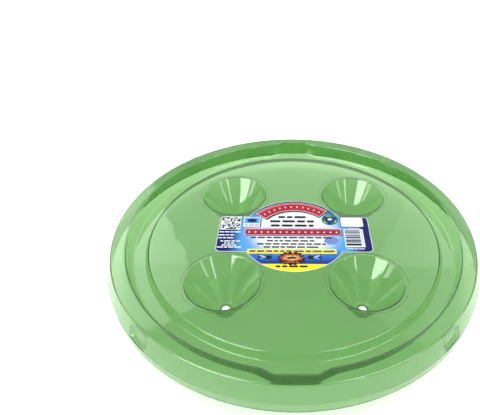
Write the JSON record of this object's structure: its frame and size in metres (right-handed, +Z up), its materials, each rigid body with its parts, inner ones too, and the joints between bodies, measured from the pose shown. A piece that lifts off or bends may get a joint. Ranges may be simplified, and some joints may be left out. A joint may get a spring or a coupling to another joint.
{
  "type": "wasp trap lid",
  "caption": "Round translucent trap lid that drops over a pail's rim, with conical entry funnels, a grooved rim and a printed label.",
  "frame": {"origin": "under the centre of the lid, on the plane that the funnel tips stand on", "axes": "+Z up out of the lid's top, +X along the label to its right-hand tab, -Y to the front, where the label's lower edge is"},
  "size_m": [0.326, 0.326, 0.044],
  "materials": {
    "green_sheet": "clear green tinted gloss sheet",
    "printed_film": "gloss printed adhesive film"
  },
  "bodies": {
    "root": {"lid_shell": "green_sheet", "label": "printed_film"}
  },
  "joints": []
}
